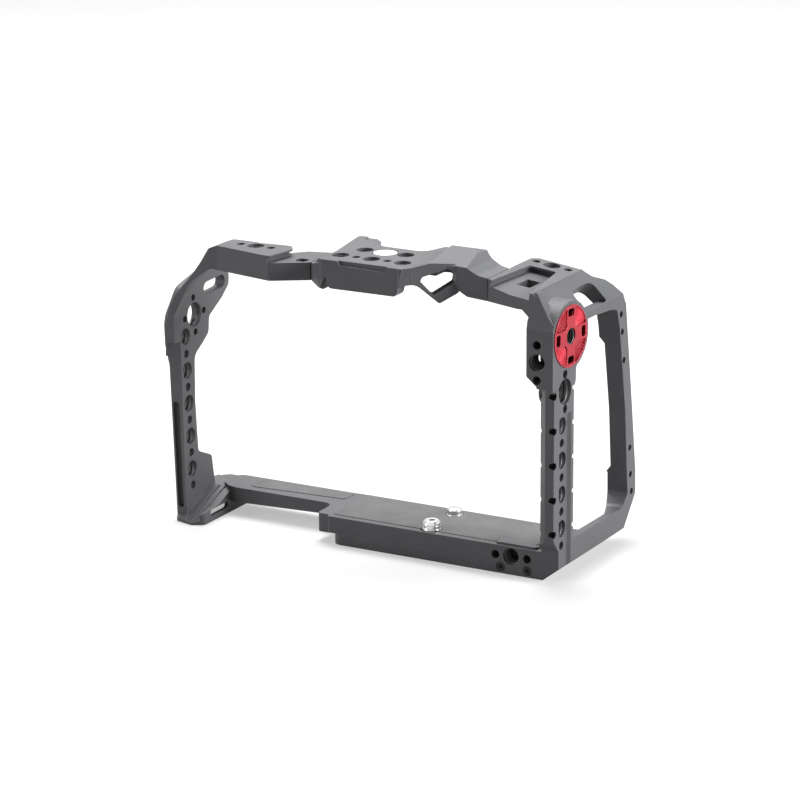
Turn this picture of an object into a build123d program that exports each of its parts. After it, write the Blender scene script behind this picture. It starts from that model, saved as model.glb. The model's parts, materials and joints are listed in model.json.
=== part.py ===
from build123d import *
import math
import os

os.makedirs("parts", exist_ok=True)

# ---------------------------------------------------------------------------
# Camera cage: a right and a left side frame, a bridge across the top and a
# base underneath, bolted into one ring around a camera.  X runs along the
# width, -Y is the lens side, +Z is up.  While it is drawn, X = 0 is the outer
# face of the right side, Y = 0 the line of its tapped holes and Z = 0 the
# underside; at the end everything moves so that the origin is the middle of
# the underside of the overall box.
# ---------------------------------------------------------------------------

# Room for the camera
clear_width = 148.4          # between the side frames at the base
clear_height = 88.9          # from the base to the underside of the arms

# Thread and pin sizes
quarter_inch = 6.35          # 1/4-20 thread, across its crests
three_eighths = 9.525        # 3/8-16 thread, across its crests
hole_pitch = 6.35            # tapped holes and pin holes alternate at this step
pin_hole = 3.2               # anti-twist pin holes
notch_hole = 2.8             # half holes along the pillar edges
notch_depth = 4.4
rear_notch = 1.7             # width of the nicks along the rear edge
screw_size = 2.5             # small assembly screws, across the thread
screw_head = 4.4
screw_head_height = 1.6
running_gap = 0.08           # radial gap of turning and sliding round parts
free_gap = 0.3               # gap around parts that pass one another

# Right side
side_wall = 7.0              # thickness of the front pillar
rear_wall = 8.6              # thickness of the rear pillar
pillar_front = 8.6           # from the hole line to the front face
pillar_rear = 7.0            # from the hole line to the rear face
pillar_chamfer = 3.5         # inner front edge of the pillar
groove_depth = 1.2           # long shallow flat around the hole line
groove_front = 4.4
groove_rear = 4.0
groove_top = 61.4
lowest_hole = 12.5           # height of the lowest pin hole
column_steps = 10            # pitches from the lowest hole to the highest
base_front = 4.3             # from the hole line to the front of the base
toe_low = 11.5               # the pillar's slanted foot runs between these heights
toe_high = 16.5
rail_height = 13.5
rail_web = 2.8
rail_flange = 12.0
rail_foot = 5.0              # lower edge of the rail's outer face
hollow_top = 25.0            # of the hollow behind the rail's web
corner_chamfer = 6.3         # width of the chamfer under the outer corner
strut_top = 94.6
strut_height = 2.7
strut_depth = 4.0
body_depth = 58.6            # from the hole line to the rearmost point
waist = 2.0                  # hollow in the inner side of the rear pillar
waist_low = 25.0
waist_high = 78.0
lug_width = 11.0
lug_depth = 6.5
lug_bottom = 75.9
lug_crease = 93.0
lug_apex = 106.4
lug_lean = 3.2               # how far its top leans back
lug_hole_x = 6.9
lug_hole_z = 81.3
edge_hole = 1.25             # radius of the small holes along the rear edge
edge_hole_depth = 4.0

# Rosette on the right side
rosette_y = 3.2
rosette_z = 89.2
rosette_radius = 11.2
rosette_thickness = 3.2
rosette_rim = 1.4
rosette_proud = 0.4
rosette_toe = 4.0            # degrees that its face turns to the front
rosette_stem = 5.4           # radius of the threaded stem behind the disc
stem_length = 6.0
boss_depth = 9.5
rosette_bore = 3.0           # radius of its M6 thread
rosette_hub = 4.7
rosette_land = 5.4           # width of the four flat lands
rosette_drop = 0.7           # from the lands down to the roots of the teeth
spanner_circle = 8.6         # radius at which the four spanner slots lie
spanner_width = 2.8
spanner_length = 4.2
spanner_depth = 2.6

# Top: arms and bridge
arm_height = 6.6
shoulder_length = 29.6       # right arm, from the outer face to its seam
shoulder_rise = 8.3          # top of the right arm over its underside
shoulder_slope = 7.5         # degrees that its top falls to the outside
shoulder_rear = 33.5
roof_edge = 10.5             # flat of the right arm ends here
strap_low = 17.0             # strap window in the shoulder, along the side
strap_high = 33.4
strap_rise = 9.5             # its upper edge, measured up the slope
shoe_depth = 2.4
shoe_lip = 0.9               # thickness left over the undercut
shoe_undercut = 0.9
shoe_width = 10.5
shoe_length = 26.0
shoe_step = 3.6              # from the seam to the recess
shoe_hole_width = 5.2
shoe_hole_front = 6.5
shoe_hole_rear = 15.0
arm_hole_x = -20.2
arm_hole_y = 29.3
bridge_length = 70.2
bridge_rise = 11.1           # top of the bridge over the arms' underside
bridge_skin = 5.6            # thickness of its raised plate
seam_front_right = 2.4
seam_front_left = 5.3
seam_depth = 16.5
tongue_length = 7.0
tongue_height = 2.6
tongue_width = 9.0
tongue_floor = 2.0
groove_width = 0.3           # of the groove that marks each seam
plate_front = -14.9          # front face of the raised plate
plate_face = 5.4
face_recess = 1.0
face_left = -90.1
face_right = -57.0
wedge_left = -52.6           # raised wedge between the strap eye and the right seam
wedge_rise = 3.1             # its ridge over the top of the bridge
ridge_y = 14.0
eye_turn = 40.0              # degrees that the strap eye turns outwards
eye_thickness = 4.0
bridge_hole_x = -86.9        # first of five holes along the raised plate
bridge_hole_y = -6.3
magnet_x = -74.6             # disc that holds the spare key
magnet_y = 4.5
magnet_radius = 4.4
magnet_thickness = 2.5
magnet_gap = 0.35
tab_rebate = 0.5
rear_tap_reach = 8.4         # from the disc to the tapped holes beside it

# Left side
left_wall = 4.2
left_lean = 1.84             # degrees that the left wall leans out
left_front = 6.2             # from the hole line's zero to its front face
left_bend = 79.0             # height at which the wall bends inwards
left_hole_y = -0.8
left_big_y = 6.0
left_big_z = 76.8
left_pin_circle = 6.6
left_pin = 2.6
left_slot = 2.5              # radius of the strap slot's ends
arm_plate = 2.6              # raised plate on the left arm
arm_front = 8.4
plate_left = -139.0
plate_right = -110.8
plate_lip = 0.7
left_hole_x = -125.1
foot_length = 9.2            # foot, from the wall's inner face
foot_height = 5.8
foot_rear = 24.4
foot_slot = 1.35
rail_left_height = 10.5
rail_left_front = 9.4
rail_left_foot = 6.0
leg_width = 5.0
leg_foot = 3.4
leg_front = -2.6
leg_screw_length = 9.0

# Base
base_height = 10.5
base_length = 68.0
block_length = 27.3
split_height = 4.2
lower_step = 1.8             # lower plate is that much shorter at its left
pad_thickness = 0.8
pad_seat = 0.6               # depth of the rebate that holds a pad
pad_margin = 2.8
pad_gap = 0.1
block_hole_x = -19.0
block_hole_z = 6.8
block_hole_depth = 6.5
block_screw_z = 2.4
block_screw_x = (-23.2, -12.5)
block_screw = 2.0
block_screw_head = 3.6
block_head_depth = 1.8
lower_tongue = 17.0          # tongue of the lower plate: length, sides and heights
tongue_front = 3.0
tongue_rear = 20.0
tongue_low = 0.8
tongue_high = 3.4

# Camera screw and locating pin
screw_x = -54.0
screw_y = 0.7
pin_spacing = 18.8           # from the camera screw back to the locating pin
pin_radius = 2.75
guide_radius = 3.0           # wider part of the pin that slides in the base
pin_proud = 2.4
pin_round = 0.9
pin_edge = 5.2               # from the pin's middle back to the edge of the base
pin_travel = 2.2
pin_guide = 2.0
screw_proud = 3.2
screw_chamfer = 0.7
shank_radius = 3.4           # smooth part of the camera screw under the pad's level
screw_travel = 1.4
screw_head_radius = 4.0
screw_head_thickness = 2.6
neck_radius = 2.4
clip_thickness = 0.6
clip_radius = 4.0
head_gap = 0.05
flange_radius = 4.3
flange_thickness = 1.0
plug_bottom = 0.4
spring_wire = 0.45
spring_turns = 4.0
spring_radius = 3.4
spring_spare = 0.65          # left between the coils when the pin is pressed in

# ---------------------------------------------------------------------------
# Places worked out from the sizes above
# ---------------------------------------------------------------------------
inner_right = -side_wall
hollow_end = body_depth - 5.2
inner_left = inner_right - clear_width
arm_under = base_height + clear_height
arm_top = arm_under + arm_height
bridge_top = arm_under + bridge_rise
seam_right = -shoulder_length
seam_left = seam_right - bridge_length
base_right = -block_length
base_left = base_right - base_length
base_rear = screw_y + pin_spacing + pin_edge
tap = quarter_inch / 2
big_tap = three_eighths / 2
strut_under = strut_top - strut_height
hump_left = seam_left + 7.0
leg_x = base_left - leg_width
foot_inner = inner_left + foot_length
foot_outer = inner_left - left_wall + 0.4


# ---------------------------------------------------------------------------
# Drawing helpers
# ---------------------------------------------------------------------------
def outline(points):
    """Closed flat face; a third value on a point rounds that corner."""
    starts = []
    ends = []
    arcs = []
    count = len(points)
    for i in range(count):
        here = Vector(*points[i][:2])
        before = (Vector(*points[i - 1][:2]) - here).normalized()
        after = (Vector(*points[(i + 1) % count][:2]) - here).normalized()
        radius = points[i][2] if len(points[i]) > 2 else 0
        half = math.radians(before.get_angle(after)) / 2
        if radius == 0 or half > math.radians(89.5):
            starts.append(here)
            ends.append(here)
            continue
        reach = radius / math.tan(half)
        middle = (before + after).normalized()
        centre = here + middle * (radius / math.sin(half))
        starts.append(here + before * reach)
        ends.append(here + after * reach)
        arcs.append(ThreePointArc(starts[-1], centre - middle * radius, ends[-1]))
    lines = [Line(ends[i - 1], starts[i]) for i in range(count)]
    return Face(Wire(arcs + lines))


def slab_x(points, x0, x1):
    """Outline of (Y, Z) points, solid from x0 to x1."""
    plane = Plane(origin=(x0, 0, 0), x_dir=(0, 1, 0), z_dir=(1, 0, 0))
    return Solid.extrude(plane * outline(points), Vector(x1 - x0, 0, 0))


def slab_y(points, y0, y1):
    """Outline of (X, Z) points, solid from y0 to y1."""
    plane = Plane(origin=(0, y0, 0), x_dir=(1, 0, 0), z_dir=(0, -1, 0))
    return Solid.extrude(plane * outline(points), Vector(0, y1 - y0, 0))


def slab_z(points, z0, z1):
    """Outline of (X, Y) points, solid from z0 to z1."""
    plane = Plane(origin=(0, 0, z0))
    return Solid.extrude(plane * outline(points), Vector(0, 0, z1 - z0))


def box(x0, x1, y0, y1, z0, z1):
    return slab_z([(x0, y0), (x1, y0), (x1, y1), (x0, y1)], z0, z1)


def drill(point, direction, radius, depth):
    """Round solid that starts at a point and runs along a direction."""
    return Solid.make_cylinder(radius, depth, Plane(origin=point, z_dir=direction))


def through(point, direction, radius, depth):
    """Round solid centred on a point, for holes that go right through."""
    start = Vector(*point) - Vector(*direction).normalized() * depth
    return drill(start, direction, radius, 2 * depth)


def slot_x(y0, z0, y1, z1, radius, x0, x1):
    """Round-ended slot between two (Y, Z) centres, cut along X."""
    ends = [drill((x0, y, z), (1, 0, 0), radius, x1 - x0) for y, z in ((y0, z0), (y1, z1))]
    length = math.hypot(y1 - y0, z1 - z0)
    ny = -(z1 - z0) / length * radius
    nz = (y1 - y0) / length * radius
    bar = slab_x([(y0 + ny, z0 + nz), (y0 - ny, z0 - nz), (y1 - ny, z1 - nz), (y1 + ny, z1 + nz)], x0, x1)
    return [ends[0], ends[1], bar]


def group(shapes):
    return Compound(list(shapes))


# ---------------------------------------------------------------------------
# Right frame: two pillars, the boss of the rosette, the rail between the
# pillars, the front block at the base and the arm across the top
# ---------------------------------------------------------------------------
toe = math.radians(rosette_toe)
rosette_axis = (math.cos(toe), -math.sin(toe), 0)
rosette_centre = (rosette_y * math.tan(toe), rosette_y, rosette_z)
boss_radius = rosette_radius + rosette_rim
column_top = lowest_hole + column_steps * hole_pitch
arm_fall = math.tan(math.radians(shoulder_slope))
arm_seam_top = arm_under + shoulder_rise
arm_edge_top = arm_seam_top - (shoulder_length - roof_edge) * arm_fall
slope_run = math.hypot(roof_edge, arm_edge_top - strut_top)
slope_up = (-roof_edge / slope_run, 0, (arm_edge_top - strut_top) / slope_run)
slope_out = (slope_up[2], 0, -slope_up[0])
slope_plane = Plane(origin=(0, 0, strut_top), x_dir=(0, 1, 0), z_dir=slope_out)
rear_top = strut_top - 2.2
rear_foot_y = body_depth - 13.6
rear_top_y = body_depth - 10.6
front = -pillar_front


def side_ring():
    """Both right pillars with the rail under and the strut over the window."""
    outside = [
        (-base_front, 0), (-base_front, toe_low, 1.5), (front, toe_high, 3), (front, lug_crease),
        (rosette_y, lug_crease + 5), (18, strut_top), (body_depth - 26, strut_top - 0.3),
        (rear_top_y, rear_top, 0.8),
        (rear_top_y + 0.75, rear_top - 1.5, 1), (body_depth - 6.2, 66.8, 20), (body_depth - 3.5, 48.6, 20),
        (body_depth - 0.2, 24.7, 8), (body_depth, 16, 3), (body_depth - 9, 5.6, 8), (rear_foot_y, 0),
    ]
    window = [
        (pillar_rear, rail_height, 0.8), (pillar_rear, column_top - 7, 1),
        (pillar_rear + 1.5, column_top - 4, 1),
        (pillar_rear + 1.5, column_top + 1, 4), (rosette_y + 12.9, rosette_z - 6, 3),
        (rosette_y + 14.4, strut_under + 0.4, 1), (body_depth - 22.3, strut_under - 1.0, 2),
        (body_depth - 17.2, strut_under - 2.2, 2), (body_depth - 14.8, strut_under - 9.7, 4),
        (body_depth - 9.5, 50.2, 10), (body_depth - 7.6, 26.8), (body_depth - 6.6, 17.2, 2),
        (body_depth - 11.2, rail_height - 0.4, 4),
    ]
    ring = slab_x(outside, -rear_wall, 0) - slab_x(window, -rear_wall - 1, 1)
    # The front pillar is thinner than the rear one
    ring -= box(-rear_wall - 1, -side_wall, front - 1, rear_top_y - 18, -1, arm_seam_top)
    # The rail keeps only a thin web, and the hollow runs on into the rear pillar
    hollow = slab_x([(pillar_rear, rail_foot), (rear_foot_y + 2, rail_foot), (hollow_end, 10.3, 3),
                     (hollow_end, hollow_top), (pillar_rear, hollow_top)], -rear_wall - 1, 0)
    ring -= hollow & slab_z([(-rear_wall - 1, pillar_rear), (-rail_web, pillar_rear),
                             (-rail_web, rear_foot_y - 7, 4), (-rear_wall - 1, hollow_end + 2)], 0,
                            hollow_top + 1)
    # Waist on the inner side of the rear pillar
    ring -= slab_y([(-rear_wall - 1, waist_low), (-rear_wall, waist_low),
                    (-rear_wall + waist, waist_low + 2.5),
                    (-rear_wall + waist, waist_high - 2.5), (-rear_wall, waist_high),
                    (-rear_wall - 1, waist_high)],
                   rear_foot_y - 6, body_depth + 1)
    # The strut is thinner than the pillars
    return ring - box(-rear_wall - 1, -strut_depth, 18, body_depth - 17, strut_under - 3, strut_top + 1)


def lean_cut(x0, x1):
    """Wedge in front of the leaning top of the front face."""
    return slab_x([(front - 1, lug_crease), (front, lug_crease), (front + lug_lean, lug_apex),
                   (front + lug_lean, lug_apex + 6), (front - 1, lug_apex + 6)], x0, x1)


def front_lug():
    """Flat plate behind the top of the front face, with its apex over the arm."""
    flat = [
        (-4.7, lug_bottom - 5.3), (-lug_width, lug_bottom, 1), (-lug_width, lug_apex - 10.6),
        (-8.9, lug_apex, 0.6),
        (-6.6, lug_apex - 3.4, 3), (-3.6, 98.6), (-1.2, lug_crease), (0, lug_crease - 2),
        (0, lug_bottom - 5.3),
    ]
    return slab_y(flat, front, front + lug_depth) - lean_cut(-lug_width - 1, 1)


def right_arm():
    """Roof that falls to the outside, with the shoulder down to the strut."""
    roof_start = -lug_width - 2.6
    profile = [
        (seam_right, arm_under), (seam_right, arm_seam_top), (-roof_edge, arm_edge_top),
        (0, strut_top), (0, strut_under), (-strut_depth, strut_under), (roof_start, arm_under),
    ]
    plan = [
        (seam_right, -seam_front_right), (-lug_width, front), (0, front), (0, rear_top_y),
        (-5.5, rear_top_y - 5.6, 3), (-roof_edge + 2.9, shoulder_rear + 3.1, 3),
        (-roof_edge, shoulder_rear, 3),
        (seam_right + 2, shoulder_rear, 1), (seam_right, shoulder_rear - 2.5),
    ]
    arm = slab_y(profile, front, body_depth) & slab_z(plan, strut_top - 10, arm_seam_top + 1)
    arm -= lean_cut(-lug_width - 9, 1)
    # Accessory recess, open to the front, with a hole through its floor
    left = seam_right + shoe_step
    shoe = slab_y([(left - 4, arm_seam_top + 2), (left - 4, arm_seam_top - shoe_depth),
                   (-roof_edge, arm_edge_top - shoe_depth), (-roof_edge, arm_seam_top + 2)],
                  front - 12, shoe_length + 12)
    recess = slab_z([(left - 2.6, front - 12), (left, shoe_length - 3, 1),
                     (left + shoe_width, shoe_length - 2.4, 1),
                     (-roof_edge - 1.4, 0), (-roof_edge + 0.6, front - 12)], arm_under, arm_seam_top + 3)
    arm -= shoe & recess
    # Its side and end are undercut just over the floor
    floor = slab_y([(left - 4, arm_seam_top - shoe_depth), (-roof_edge, arm_edge_top - shoe_depth),
                    (-roof_edge, arm_edge_top - shoe_lip), (left - 4, arm_seam_top - shoe_lip)],
                   front - 12, shoe_length + 12)
    arm -= floor & recess.moved(Pos(-shoe_undercut, 0, 0)) & box(seam_right, 0, front - 12, shoe_length,
                                                                 arm_under, arm_seam_top)
    arm -= floor & recess.moved(Pos(0, shoe_undercut, 0)) & box(seam_right, 0, 0, shoe_length, arm_under,
                                                                arm_seam_top)
    arm -= box(left + 3.4, left + 3.4 + shoe_hole_width, shoe_hole_front, shoe_hole_rear,
               arm_under - 1, arm_seam_top)
    # Window for a strap, square to the shoulder's slope and over the strut
    strap = slope_plane * outline([(strap_low, 0.3, 1), (strap_high, 0.3, 1), (strap_high, strap_rise, 3),
                                   (strap_low, strap_rise, 3)])
    arm -= Solid.extrude(strap, Vector(*slope_out) * 3)
    return arm - Solid.extrude(strap, Vector(*slope_out) * -14)


def front_block():
    """Foot of the front pillar, beside the base, with the rail's flange."""
    block = box(base_right, 0, -base_front, base_rear, 0, base_height)
    block += box(-rail_flange, 0, base_rear - 1, rear_foot_y - 1, 0, rail_foot)
    # Land in front of the pad
    block += slab_z([(base_right + 1.5, -3.2, 0.8), (-side_wall - 2.4, -3.2, 1.5),
                     (-side_wall - 2.4, 1.3, 0.8),
                     (base_right + 1.5, 1.3, 0.8)], base_height - 1, base_height + pad_thickness)
    return block


def column_holes(x, depth):
    """Alternating pin holes and tapped holes up the outer face, right through."""
    cuts = []
    for step in range(column_steps):
        z = lowest_hole + step * hole_pitch
        if step % 2 == 0:
            cuts.append(drill((x, 0, z), (-1, 0, 0), pin_hole / 2, depth))
        elif step < column_steps - 1:
            cuts.append(drill((x, 0, z), (-1, 0, 0), tap, depth))
    cuts.append(drill((x, 0, lowest_hole + (column_steps - 1) * hole_pitch), (-1, 0, 0), big_tap, depth))
    cuts.append(drill((x, 0, column_top), (-1, 0, 0), pin_hole / 2, depth))
    return cuts


def edge_notches():
    """Half holes along three edges of the front pillar, level with the threads."""
    cuts = []
    for step in range(1, column_steps, 2):
        z = lowest_hole + step * hole_pitch
        cuts.append(through((0, front, z), (1, -1, 0), notch_hole / 2, notch_depth))
        cuts.append(through((0, pillar_rear, z), (1, 1, 0), rear_notch / 2, rear_notch * 0.7))
        cuts.append(through((-side_wall, front + pillar_chamfer, z - 1), (-1, -0.4, 0), notch_hole / 3, 1.2))
    return cuts


def edge_holes():
    """Small blind holes down the outer face of the rear pillar."""
    cuts = []
    for y, z in ((body_depth - 13.7, 87.2), (body_depth - 12.7, 80.4), (body_depth - 11, 69.4),
                 (body_depth - 5.2, 34.7), (body_depth - 4.4, 24.3), (body_depth - 3.4, 17.5)):
        cuts.append(drill((1, y, z), (-1, 0, 0), edge_hole, 1 + edge_hole_depth))
    return cuts


def triple(x, direction, place):
    """A tapped hole between two pin holes, one pitch apart along X."""
    return [through((x + step * hole_pitch, *place), direction, tap if step == 0 else pin_hole / 2, 12)
            for step in (-1, 0, 1)]


def right_frame():
    axis = Vector(*rosette_axis)
    centre = Vector(*rosette_centre)
    frame = side_ring() + right_arm() + front_lug() + front_block()
    frame += drill(centre - axis * boss_depth, axis, boss_radius, boss_depth)
    # Everything stays behind the front plane and above the chamfered underside
    frame -= box(-lug_width - 1, 3, front - 9, front, lug_bottom, arm_seam_top + 1)
    frame -= slab_y([(-corner_chamfer, -0.01), (0.01, rail_foot), (3, rail_foot), (3, -1),
                     (-corner_chamfer, -1)],
                    front - 1, body_depth + 1)
    # Turned face around the rosette, and the chamfers and groove of the pillar
    frame -= slab_z([(0, 0), ((front - 2) * math.tan(toe), front - 2), (1, front - 2)],
                    column_top - 5, arm_seam_top)
    inner = -side_wall
    frame -= slab_z([(inner - 1, front - 1), (inner + pillar_chamfer, front - 1),
                     (inner + pillar_chamfer, front),
                     (inner, front + pillar_chamfer), (inner - 1, front + pillar_chamfer)],
                    base_height + 4, lug_bottom - 4)
    groove = [(1, -groove_front - 1.2), (0, -groove_front), (-groove_depth, -groove_front + groove_depth),
              (-groove_depth, groove_rear), (0, groove_rear + groove_depth), (1, groove_rear + groove_depth)]
    frame -= slab_z(groove, -1, groove_top)
    # Rear end of the shoulder falls towards the rear pillar
    frame -= slab_x([(rear_top_y - 4.6, strut_top + 5.7), (rear_top_y + 0.2, rear_top - 1.4),
                     (body_depth, rear_top - 1.4), (body_depth, strut_top + 15.4),
                     (rear_top_y - 9.6, strut_top + 15.4)], seam_right, 1)
    # Pocket for the rosette and the bore for its stem
    pocket = rosette_thickness - rosette_proud
    frame -= drill(centre - axis * pocket, axis, rosette_radius, pocket + 4)
    frame -= drill(centre - axis * (boss_depth + 4), axis, rosette_stem, boss_depth + 4)
    # Holes of the outer face and its edges
    frame -= group(column_holes(1, side_wall + 5))
    frame -= group(edge_notches() + edge_holes())
    # Lug: one tapped hole right through between two pin holes
    for step, radius in ((-1, pin_hole / 2), (0, tap), (1, pin_hole / 2)):
        frame -= drill((-lug_hole_x, front - 1, lug_hole_z + step * hole_pitch), (0, 1, 0), radius,
                       lug_depth + 2.5)
    # Top of the arm, and the front of the block with its counterbored screws
    frame -= group(triple(arm_hole_x, (0, 0, 1), (arm_hole_y, arm_top)))
    frame -= group(triple(block_hole_x, (0, 1, 0), (block_hole_depth - base_front - 12, block_hole_z)))
    for x in block_screw_x:
        frame -= drill((x, -base_front - 1, block_screw_z), (0, 1, 0), block_screw_head / 2,
                       1 + block_head_depth)
        frame -= drill((x, -base_front - 1, block_screw_z), (0, 1, 0), block_screw / 2, 12)
    # Rebate for the pad, mortise of the bridge and its screws from below
    frame -= mortise(seam_right, 1, seam_front_right, arm_seam_top)
    frame -= block_mortise()
    return frame - pad_rebate()


# ---------------------------------------------------------------------------
# Joints between the frames: hidden tongues with screws from below
# ---------------------------------------------------------------------------
def tongue_box(seam, side, front, slack):
    """Tongue of the bridge; side is +1 where the arm lies to the right."""
    y0 = -front + (seam_depth - tongue_width) / 2
    ends = sorted((seam - side * 0.5, seam + side * (tongue_length + slack)))
    z0 = arm_under + tongue_floor
    return box(ends[0], ends[1], y0 - slack, y0 + tongue_width + slack, z0 - slack,
               z0 + tongue_height + slack)


def seam_screw_places(seam, side, front):
    y0 = -front + seam_depth / 2
    x = seam + side * tongue_length / 2
    return [(x, y0 - 2.6), (x, y0 + 2.6)]


def seam_screw_cuts(seam, side, front):
    """Countersinks in the arm's underside and tapped holes in the tongue."""
    cuts = []
    for x, y in seam_screw_places(seam, side, front):
        cuts.append(drill((x, y, arm_under - 1), (0, 0, 1), screw_head / 2 + 0.1, 1 + screw_head_height))
        cuts.append(drill((x, y, arm_under - 1), (0, 0, 1), screw_size / 2,
                          1 + tongue_floor + tongue_height))
    return cuts


def seam_groove(seam, side, front, top):
    """Narrow groove around the end of an arm, so that the seam shows as a line."""
    rear = seam_depth - front
    ends = sorted((seam, seam + side * groove_width))
    whole = box(ends[0], ends[1], -front - 1, rear + 1, arm_under - 1, top + 1)
    return whole - box(ends[0], ends[1], -front + groove_width * 2, rear - groove_width * 2,
                       arm_under + groove_width * 2, top - groove_width * 2)


def mortise(seam, side, front, top):
    cuts = [tongue_box(seam, side, front, 0.1), seam_groove(seam, side, front, top)]
    return group(cuts + seam_screw_cuts(seam, side, front))


def lower_tongue_box(slack):
    """Tongue of the lower plate, which reaches into the block."""
    return box(base_right - 1, base_right + lower_tongue + slack, tongue_front - slack, tongue_rear + slack,
               tongue_low - slack, tongue_high + slack)


def block_mortise():
    """Slot in the block for the tongue of the lower plate."""
    return lower_tongue_box(0.1)


# ---------------------------------------------------------------------------
# Left frame: leaning wall, foot, rear rail and the arm across the top
# ---------------------------------------------------------------------------
lean = math.tan(math.radians(left_lean))


def wall_x(z):
    """Inner face of the leaning wall at a height."""
    return inner_left - (z - lowest_hole) * lean


def left_wall_plate():
    flat = [
        (-left_front, 0, 2), (-left_front, 60, 6), (-arm_front, 68, 6), (-arm_front, 76, 3), (-7.4, 79.4, 6),
        (0.6, 88.4, 6), (14.8, 91.6, 8), (27, 92.2, 6), (31.3, 87.5, 4), (30.8, 83.2, 3), (25.7, 79.2, 4),
        (16, 74, 3), (15.2, 68, 3), (11, 65.1, 2), (4.8, 61.5, 4), (3.6, 44.4), (4, 24.5, 2), (13, 20.6, 2),
        (14.3, 9.5, 1), (23, 9.5), (23, 0),
    ]
    plate = slab_x(flat, -left_wall, 0)
    return Pos(inner_left, 0, lowest_hole) * Rot(0, -left_lean, 0) * Pos(0, 0, -lowest_hole) * plate


def wall_edge_cut():
    """Chamfer on the inner front edge of the wall that widens upwards."""
    low, high = 20.0, left_bend - 10
    narrow, wide = 0.4, 1.9
    start = Vector(wall_x(low), -left_front + narrow, low)
    across = Vector(-1, -1, 0).normalized()
    along = (Vector(wall_x(high), -left_front + wide, high) - start).normalized()
    plane = Plane(origin=start, x_dir=across, z_dir=across.cross(along))
    side = 1 if plane.z_dir.X > 0 else -1
    length = high - low
    flat = plane * outline([(-3, -10), (5, -10), (5, length), (-3, length)])
    return Solid.extrude(flat, plane.z_dir * 4 * side)


def left_band():
    """Front band that follows the wall and bends over into the arm."""
    x = wall_x(left_bend)
    low = left_bend - 15
    flat = [
        (wall_x(low), low), (x, left_bend, 4), (inner_left + 4.5, arm_under - 7.5, 3),
        (inner_left + 7.1, arm_under - 4.9, 2), (inner_left + 14.4, arm_under + 0.2, 3),
        (inner_left + 22.7, arm_under), (plate_left + 12, arm_under), (plate_left + 12, arm_top + arm_plate),
        (plate_left + 1.2, arm_top + arm_plate, 2), (inner_left + 13.9, arm_under + 7.8, 2),
        (inner_left + 10.2, arm_under + 2.0, 4), (inner_left + 6.4, arm_under - 3.1, 6),
        (inner_left + 1.9, arm_under - 8.1, 6), (inner_left - 1.5, arm_under - 12.3, 4),
        (inner_left - 3.4, arm_under - 15.7, 4), (inner_left - 5.2, arm_under - 21.6, 6),
        (wall_x(low) - left_wall, low),
    ]
    side = [(-arm_front, low), (-arm_front + 3.5, low), (-arm_front + 3.5, arm_under - 15.4, 3),
            (-arm_front + 4.9, arm_under - 7.4, 3), (3.2, arm_under - 2.4), (3.2, arm_top + 5),
            (-arm_front, arm_top + 5)]
    return slab_y(flat, -arm_front, 3.2) & slab_x(side, inner_left - 10, seam_left)


def left_arm():
    """Arm with a raised plate, whose right end stands over a lower level."""
    low = slab_z([(seam_left, -seam_front_left), (plate_right - 2.0, -13.4, 2),
                  (plate_left + 1.2, -arm_front),
                  (plate_left + 1.2, 1.7), (plate_right - 2.6, 4.0, 2), (plate_right + 1.8, 8.8, 2),
                  (seam_left, seam_depth - seam_front_left)], arm_under, arm_top)
    plate = slab_z([(plate_left + 1.2, -arm_front), (plate_right - 2.0, -13.4, 1.5),
                    (plate_right + 0.4, -0.2, 4),
                    (plate_right - 2.6, 4.0, 3), (plate_left + 3.0, 1.7), (plate_left + 1.2, 2.6)],
                   arm_top - 1, arm_top + arm_plate)
    # Its right end overhangs the lower level as a thin lip
    plate -= slab_z([(plate_right - 3.6, -14.5), (plate_right + 3, -14.5), (plate_right + 3, 5.5),
                     (plate_right - 4.5, 5.5), (plate_right - 1.1, -0.4, 3)],
                    arm_top, arm_top + arm_plate - plate_lip)
    # Round-cornered keyway in the lower level
    keyway = slab_z([(seam_left - 6.8, -5.9, 1.5), (seam_left - 2.4, -5.9, 1.5),
                     (seam_left - 2.4, -1.6, 1.5),
                     (seam_left - 6.8, -1.6, 1.5)], arm_top - 2.5, arm_top + 1)
    return low + plate - keyway


def left_foot():
    """Foot under the wall: a ramp along Y that rises to the rear rail."""
    ramp = slab_x([(-10.5, 0), (-10.5, 0.9, 0.5), (13, base_height - 1.2, 4), (17.5, base_height, 4),
                   (foot_rear, base_height, 2), (foot_rear, 0, 1)], foot_outer, foot_inner)
    web = slab_x([(-10.5, 0), (-10.5, 3.0, 1), (-7.5, foot_height - 1.4, 2), (4.7, foot_height),
                  (21, foot_height),
                  (21, 0)], foot_inner - 1.6, foot_inner)
    plan = [(foot_outer, -6), (foot_outer + 0.9, -8.2, 1), (foot_outer + 8.7, -10.3, 2),
            (foot_inner, -7.9, 2),
            (foot_inner, 13), (foot_inner + 6, 13), (foot_inner + 6, 25), (foot_outer + 8, 25, 3),
            (foot_outer, 17, 3)]
    foot = (ramp + web) & slab_z(plan, -1, base_height + 1)
    # Open underneath, with a slot through the inner web and two grooves along
    # the ramp
    foot -= slab_x([(-5, -1), (-5, 1.4), (17.5, 7.4), (19.5, 7.4), (19.5, -1)], foot_outer + 5.2,
                   foot_inner - 1.6)
    foot -= group(slot_x(-2.2, 3.4, 7.6, 3.6, foot_slot, foot_inner - 3, foot_inner + 1))
    for x in (foot_inner - 6.2, foot_inner - 3.6):
        foot -= slab_x([(-12, 1.4), (-9, 1.2), (12, base_height - 2.0), (14, base_height),
                        (14, base_height + 4),
                        (-12, base_height)], x, x + 0.8)
    return foot


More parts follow.
